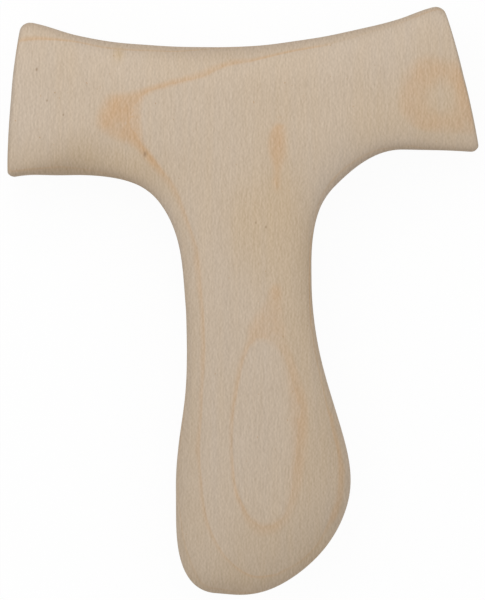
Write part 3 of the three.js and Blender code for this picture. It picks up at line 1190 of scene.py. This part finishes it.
@dataclass(frozen=True)
class MapleFinish:
    """Pale maple, sanded smooth, with a thin matt oil.

    Every pattern is solid: it is worked out from the place in the board, so a layer or a ray runs on round
    the edges. The fibres run along Y. Colours are written as on a screen.
    """

    # Colours
    early_wood: tuple[int, int, int] = (199, 182, 163)
    warm_wood: tuple[int, int, int] = (196, 174, 146)
    late_wood: tuple[int, int, int] = (200, 165, 128)
    layer_end: tuple[int, int, int] = (178, 142, 106)
    end_grain: tuple[int, int, int] = (176, 155, 133)
    pin_colour: tuple[int, int, int] = (138, 112, 84)

    # Patterns of the fibres, of which rays and streaks carry painted shade on one side of each fleck
    ray: Pattern = Pattern((0.19, 0.5, 5.0))
    streak: Pattern = Pattern((0.18, 2.2, 1.5))
    shade_way: tuple[float, float, float] = (0.32, 0.0, 0.0)
    shade_share: float = 0.35
    band: Pattern = Pattern((1.1, 30.0, 3.0), detail=1.0)
    mottle: Pattern = Pattern((1.3, 2.4, 1.6), detail=1.0)
    patch: Pattern = Pattern((8.0, 19.0, 6.0), detail=1.5)

    # Growth layers, whose lines sway and have feathered edges
    sway: Pattern = Pattern((6.0, 22.0, 8.0), detail=1.0)
    sway_share: float = 0.03
    feather: Pattern = Pattern((0.7, 4.0, 0.9), detail=1.0)
    feather_share: float = 0.016
    late: LateWood = LateWood()
    strength: float = 0.95
    strength_weights: Weights = Weights(mottle=0.7, patch=0.9)
    strength_top: float = 1.4
    rim_share: float = 0.12
    warmth: float = 0.06
    warmth_weights: Weights = Weights(band=0.5, patch=0.7)
    age_warmth: float = 0.15

    # End grain, which shows where the surface faces along the fibres
    across_range: tuple[float, float] = (0.45, 1.0)
    across_share: float = 0.4
    across_roughness: float = 0.08

    # Small dark marks, of which the pins are drawn out along the fibres
    fleck: Pattern = Pattern((0.3, 0.55, 2.0))
    fleck_range: tuple[float, float] = (0.33, 0.42)
    fleck_share: float = 0.6
    pins: tuple[Pin, ...] = (
        Pin(-34.1, 5.7, 0.3),
        Pin(-32.4, 0.7, 0.2),
        Pin(-29.8, -1.6, 0.2),
        Pin(-16.7, -7.9, 0.45),
        Pin(1.1, -18.9, 0.2),
        Pin(2.7, -19.6, 0.2),
    )
    pin_stretch: float = 0.6
    pin_share: float = 0.6

    # Light and dark fibres with painted shade on one side of the rays and streaks, their relief, and the
    # dull shine of the oil
    tone_weights: Weights = Weights(ray=0.23, streak=0.16, band=0.06, mottle=0.03)
    tone_light: tuple[float, float, float] = (0.53, 0.475, 0.415)
    relief_weights: Weights = Weights(ray=0.2, streak=0.2, mottle=0.6)
    relief_height: float = 0.02
    relief_strength: float = 0.35
    roughness: float = 0.7
    ray_roughness: float = 0.2
    specular: float = 0.1

    def material(self, name: str) -> bpy.types.Material:
        """Makes the material.

        Args:
            name: the material's name.

        Returns:
            The material, with its whole node tree.
        """
        made = bpy.data.materials.new(name)
        graph = Graph(made)
        metres = graph.field("ShaderNodeTexCoord", "Object")
        place = graph.vector_math("SCALE", Vector=metres, Scale=1 / MM)
        patterns = self.patterns(graph, place)
        facing = graph.field("ShaderNodeTexCoord", "Normal")
        along_y = graph.field("ShaderNodeSeparateXYZ", "Y", Vector=facing)
        across = along_y.size().step_up(*self.across_range)
        colour = self.layers(graph, place, patterns)
        colour = graph.tint(colour, self.end_grain, across * self.across_share)
        colour = self.marks(graph, place, colour)
        # The tone holds the painted shade on one side of each ray and streak, besides the light and dark
        # fibres
        tone = self.tone_weights.total(patterns)
        toned = graph.vector_math("MULTIPLY_ADD", Vector=tone, Vector_001=self.tone_light, Vector_002=colour)
        bump = graph.field(
            "ShaderNodeBump",
            "Normal",
            Strength=self.relief_strength,
            Distance=self.relief_height * MM,
            Height=self.relief_weights.total(patterns),
        )
        shader = graph.field(
            "ShaderNodeBsdfPrincipled",
            "BSDF",
            Base_Color=toned,
            Roughness=self.roughness + patterns["ray"] * self.ray_roughness + across * self.across_roughness,
            Specular_IOR_Level=self.specular,
            Normal=bump,
        )
        graph.node("ShaderNodeOutputMaterial", Surface=shader)
        return made

    def patterns(self, graph: Graph, place: Field) -> dict[str, Field]:
        """The patterns of the fibres, by the names that their weights have.

        From rays and streaks, a share of the same pattern a little way beside them is taken away, which
        paints shade on one side of each fleck.

        Args:
            graph: the material's node tree.
            place: the place in the board, in millimetres.

        Returns:
            The patterns.
        """
        beside = graph.vector_math("ADD", Vector=place, Vector_001=self.shade_way)
        shaded = {
            name: pattern.at(graph, place) - pattern.at(graph, beside) * self.shade_share
            for name, pattern in (("ray", self.ray), ("streak", self.streak))
        }
        plain = {
            name: pattern.at(graph, place)
            for name, pattern in (("band", self.band), ("mottle", self.mottle), ("patch", self.patch))
        }
        return shaded | plain

    def layers(self, graph: Graph, place: Field, patterns: dict[str, Field]) -> Field:
        """The colour of the growth layers, from the levels, boldness and warmth that the mesh holds.

        Args:
            graph: the material's node tree.
            place: the place in the board, in millimetres.
            patterns: the patterns of the wood.

        Returns:
            The colour.
        """
        sway = self.sway.at(graph, place) * self.sway_share
        feather = self.feather.at(graph, place) * self.feather_share
        age = (graph.attribute(GROWTH_ATTRIBUTE) + sway + feather).fraction()
        strength = self.strength_weights.total(patterns) + self.strength
        strength = strength.step_up(0.0, self.strength_top) * graph.attribute(BOLDNESS_ATTRIBUTE)
        warmth = graph.attribute(WARMTH_ATTRIBUTE) + self.warmth_weights.total(patterns)
        warmth = warmth + self.late.warmth(age) * self.age_warmth + self.warmth
        colour = graph.tint(self.early_wood, self.warm_wood, warmth)
        colour = graph.tint(colour, self.late_wood, self.late.depth(age) * strength)
        return graph.tint(colour, self.layer_end, self.late.rim(age) * strength * self.rim_share)

    def marks(self, graph: Graph, place: Field, colour: Field) -> Field:
        """Lays the small dark flecks and pins over a colour.

        Args:
            graph: the material's node tree.
            place: the place in the board, in millimetres.
            colour: the colour below.

        Returns:
            The colour with the marks.
        """
        fleck = self.fleck.at(graph, place).step_up(*self.fleck_range)
        colour = graph.tint(colour, self.layer_end, fleck * self.fleck_share)
        flat = graph.vector_math("MULTIPLY", Vector=place, Vector_001=(1.0, self.pin_stretch, 0.0))
        for pin in self.pins:
            middle = (pin.x, pin.y * self.pin_stretch, 0.0)
            away = graph.vector_math("DISTANCE", "Value", Vector=flat, Vector_001=middle)
            share = self.pin_share - away.step_up(0.0, pin.reach) * self.pin_share
            colour = graph.tint(colour, self.pin_colour, share)
        return colour


@dataclass(frozen=True)
class CrossBody:
    """The whole carved cross, one piece of maple."""

    section: Section = Section()
    left_arm: Arm = Arm(
        side=Side.LEFT,
        reach=37.81,
        rise=1.13,
        end_height=25.28,
        end_lean=5,
        end_bow=0.6,
        end_rounding=1.2,
        top_corner=1.8,
        top_slope=11,
        brow_inset=8.5,
        brow_drop=2.25,
        brow_slope=13.5,
        bottom_corner=0.8,
        bottom_slope=10.5,
        under_inset=10.2,
        under_drop=11.05,
        top_middle=RoundOver(fullness=2.4, straight=0.3),
        top_end=RoundOver(fullness=2.8, straight=0.5),
        under_middle=RoundOver(fullness=2.1, straight=0.2),
        under_end=RoundOver(fullness=2.5, straight=0.6),
    )
    right_arm: Arm = Arm(
        side=Side.RIGHT,
        reach=34.17,
        rise=4.5,
        end_height=24.3,
        end_lean=14,
        end_bow=0.56,
        end_rounding=0.8,
        top_corner=1.8,
        top_slope=14,
        brow_inset=7.45,
        brow_drop=2.4,
        brow_slope=16.3,
        bottom_corner=0.9,
        bottom_slope=2.5,
        under_inset=12.1,
        under_drop=6.9,
        top_middle=RoundOver(fullness=2.6, straight=0.35),
        top_end=RoundOver(fullness=2.8, straight=0.5),
        under_middle=RoundOver(fullness=2.1, straight=0.58),
        under_end=RoundOver(fullness=2, straight=0.64),
    )
    left_pit: Armpit = Armpit(reach=4.35, drop=4.5, slope=52)
    right_pit: Armpit = Armpit(reach=3.74, drop=6.02, slope=46)
    stem: Stem = Stem()
    dip_reach: float = 5.8
    dip_rise: float = 9.58
    sanding: HandSanding = HandSanding()
    layers: GrowthLayers = GrowthLayers(lines=LAYER_LINES)
    warm_patches: tuple[WarmPatch, ...] = WARM_PATCHES
    finish: MapleFinish = MapleFinish()
    closest: float = 1e-4

    def ribs(self) -> list[Ribs]:
        """All ribs of the cross.

        Returns:
            The ribs of the left arm, the right arm and the stem.
        """
        dip = np.array([-self.dip_reach, self.dip_rise])
        left_pit = self.left_pit.node(self.stem.neck(Side.LEFT)[0], self.left_arm)
        right_pit = self.right_pit.node(self.stem.neck(Side.RIGHT)[0], self.right_arm)
        return [
            *self.left_arm.ribs(self.section, dip, left_pit),
            *self.right_arm.ribs(self.section, dip, right_pit),
            *self.stem.ribs(self.section, left_pit, right_pit),
        ]

    def mesh(self, name: str) -> bpy.types.Mesh:
        """Makes the closed surface.

        The face and the back over each row of ribs are grids. They share their borders, so points that lie
        together become one.

        Args:
            name: the mesh's name.

        Returns:
            The mesh in metres, smooth, with the figure of its wood as attributes.
        """
        points = []
        quads = []
        total = 0
        for ribs in self.ribs():
            for face in (1, -1):
                grid = ribs.surface(self.section, face)
                rows, columns = grid.shape[:2]
                index = total + np.arange(rows * columns).reshape(rows, columns)
                corners = [index[:-1, :-1], index[1:, :-1], index[1:, 1:], index[:-1, 1:]]
                quad = np.stack([corner.ravel() for corner in corners], axis=-1)
                quads.append(quad if ribs.turn * face > 0 else quad[:, ::-1])
                points.append(grid.reshape(-1, 3))
                total += rows * columns
        made = bpy.data.meshes.new(name)
        made.from_pydata(np.concatenate(points), [], np.concatenate(quads))
        self.join(made)
        points = self.sanded(made)
        self.write_figure(made, points)
        made.vertices.foreach_set("co", (points * MM).ravel())
        made.update()
        made.shade_smooth()
        return made

    def join(self, mesh: bpy.types.Mesh) -> None:
        """Makes points that lie together one.

        Args:
            mesh: the mesh, still in millimetres.
        """
        working = bmesh.new()
        working.from_mesh(mesh)
        bmesh.ops.remove_doubles(working, verts=working.verts, dist=self.closest)
        working.to_mesh(mesh)
        working.free()

    def sanded(self, mesh: bpy.types.Mesh) -> np.ndarray:
        """The joined surface, moved along its normals by the hand sanding and kept between the two lands.

        Args:
            mesh: the mesh, still in millimetres.

        Returns:
            Its points in millimetres, one row each.
        """
        count = len(mesh.vertices)
        places = np.empty(count * 3)
        mesh.vertices.foreach_get("co", places)
        normals = np.empty(count * 3, dtype=np.float32)
        mesh.vertex_normals.foreach_get("vector", normals)
        points = places.reshape(-1, 3)
        points = points + normals.reshape(-1, 3) * self.sanding.offset(points)[:, None]
        points[:, 2] = np.clip(points[:, 2], 0, self.section.thickness)
        return points

    def write_figure(self, mesh: bpy.types.Mesh, points: np.ndarray) -> None:
        """Gives the mesh the figure of its wood: growth levels, boldness and warmth.

        Args:
            mesh: the mesh.
            points: its points in millimetres, one row each.
        """
        for patch in self.warm_patches:
            log.debug("%s: warmer by %g", patch.name, patch.amount)
        figure = {
            GROWTH_ATTRIBUTE: self.layers.levels(points),
            BOLDNESS_ATTRIBUTE: self.layers.boldness(points),
            WARMTH_ATTRIBUTE: sum(patch.warmth(points) for patch in self.warm_patches),
        }
        for name, values in figure.items():
            log.info("%s from %.2f to %.2f", name, values.min(), values.max())
            attribute = mesh.attributes.new(name, "FLOAT", "POINT")
            attribute.data.foreach_set("value", values.astype(np.float32))

    def build(self) -> bpy.types.Object:
        """Builds the cross, dresses it and seats it in the frame.

        Returns:
            The finished piece.
        """
        mesh = self.mesh("carved_cross")
        piece = bpy.data.objects.new("carved_cross", mesh)
        bpy.context.scene.collection.objects.link(piece)
        mesh.materials.append(self.finish.material("oiled_maple"))
        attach(piece, BODY)
        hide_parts(CAD_NODE)
        log.info("%s: %d points, %d faces", piece.name, len(mesh.vertices), len(mesh.polygons))
        return piece


@dataclass(frozen=True)
class Studio:
    """A pale floor, soft light from all round with a little more from above, and the camera over the cross.

    Sizes and places are in metres, and the width of the camera's sensor is in millimetres.
    """

    ambient: float = 0.763
    lean: tuple[float, float, float] = (-0.06, 0.06, 0.0)
    lamp_place: tuple[float, float, float] = (-0.03, 0.06, 0.14)
    lamp_aim: tuple[float, float, float] = (0.0, -0.03, 0.0)
    lamp_size: float = 0.14
    lamp_power: float = 0.065
    floor_half: float = 1.5
    floor_drop: float = 0.1 * MM
    floor_colour: float = 0.65
    floor_seen: float = 1.0
    floor_glow: float = 0.95
    picture_height: float = 96.79 * MM
    picture_centre: tuple[float, float] = (-1.05 * MM, -31.3 * MM)
    picture_level: float = 11.5 * MM
    camera_distance: float = 1.0
    clip_ratio: float = 10.0
    sensor: float = 36.0

    def seen(self, graph: Graph) -> Field:
        """1 for rays that see the background, straight, mirrored or through something, and 0 for light."""
        straight, mirrored, through = (
            graph.field("ShaderNodeLightPath", name)
            for name in ("Is Camera Ray", "Is Glossy Ray", "Is Transmission Ray")
        )
        return straight.larger(mirrored.larger(through))

    def build_world(self) -> None:
        """Light from all round that leans a little to the upper left, and looks white.

        Its strength is ambient * (1 + way . lean), where way is the direction that it comes from.
        """
        world = bpy.data.worlds.new("soft_room")
        bpy.context.scene.world = world
        graph = Graph(world)
        way = graph.field("ShaderNodeTexCoord", "Generated")
        lean = graph.vector_math("DOT_PRODUCT", "Value", Vector=way, Vector_001=self.lean)
        light = (1 + lean) * self.ambient
        strength = light + self.seen(graph) * (1 - light)
        shown = graph.field("ShaderNodeBackground", "Background", Color=WHITE, Strength=strength)
        graph.node("ShaderNodeOutputWorld", Surface=shown)

    def build_lamp(self) -> None:
        """A wide soft lamp above the upper left of the picture."""
        lamp = bpy.data.lights.new("wide_lamp", "AREA")
        lamp.shape = "DISK"
        lamp.size = self.lamp_size
        lamp.energy = self.lamp_power
        holder = bpy.data.objects.new("wide_lamp", lamp)
        holder.location = self.lamp_place
        holder.rotation_mode = "QUATERNION"
        holder.rotation_quaternion = aimed(np.array(self.lamp_aim) - np.array(self.lamp_place))
        holder.visible_camera = False
        bpy.context.scene.collection.objects.link(holder)

    def floor_material(self) -> bpy.types.Material:
        """Makes the floor's material: matt and pale for the light, and glowing white where it is seen.

        Returns:
            The material.
        """
        material = bpy.data.materials.new("pale_floor")
        graph = Graph(material)
        seen = self.seen(graph)
        level = seen * (self.floor_seen - self.floor_colour) + self.floor_colour
        matt = graph.field("ShaderNodeBsdfDiffuse", "BSDF", Color=level)
        glow = graph.field("ShaderNodeEmission", "Emission", Color=WHITE, Strength=1.0)
        share = seen * self.floor_glow
        both = graph.field("ShaderNodeMixShader", "Shader", Fac=share, Shader=matt, Shader_001=glow)
        graph.node("ShaderNodeOutputMaterial", Surface=both)
        return material

    def build_floor(self) -> None:
        """A pale floor that looks white and keeps the soft shadow of the cross."""
        half = self.floor_half
        corners = [(-half, -half), (half, -half), (half, half), (-half, half)]
        mesh = bpy.data.meshes.new("floor")
        mesh.from_pydata([(x, y, -self.floor_drop) for x, y in corners], [], [(0, 1, 2, 3)])
        mesh.materials.append(self.floor_material())
        floor = bpy.data.objects.new("floor", mesh)
        bpy.context.scene.collection.objects.link(floor)

    def build_camera(self) -> None:
        """A camera straight over the cross, with the top of the picture towards +Y."""
        camera = bpy.data.cameras.new("camera")
        camera.sensor_width = self.sensor
        camera.lens = self.sensor * self.camera_distance / self.picture_height
        camera.clip_start = self.camera_distance / self.clip_ratio
        camera.clip_end = self.camera_distance * self.clip_ratio
        holder = bpy.data.objects.new("camera", camera)
        holder.location = (*self.picture_centre, self.picture_level + self.camera_distance)
        bpy.context.scene.collection.objects.link(holder)
        bpy.context.scene.camera = holder

    def build(self) -> None:
        """Sets up the world, the lamp, the floor and the camera."""
        bpy.context.scene.view_settings.view_transform = "Standard"
        self.build_world()
        self.build_lamp()
        self.build_floor()
        self.build_camera()
        log.info("studio: lamp, world, floor and camera")


def aimed(way: np.ndarray) -> tuple[float, float, float, float]:
    """The quaternion that turns -Z to a way: half way between the two, as an axis and a cosine.

    Args:
        way: the direction to point along.

    Returns:
        The quaternion as w, x, y, z.
    """
    target = way / np.linalg.norm(way)
    down = np.array([0.0, 0.0, -1.0])
    parts = np.concatenate([[1 + down @ target], np.cross(down, target)])
    parts = parts / np.linalg.norm(parts)
    return tuple(float(part) for part in parts)


def main() -> None:
    """Builds the studio and the cross."""
    logging.basicConfig(level=logging.INFO, format="%(name)s: %(message)s")
    Studio().build()
    CrossBody().build()


if __name__ == "__main__":
    main()
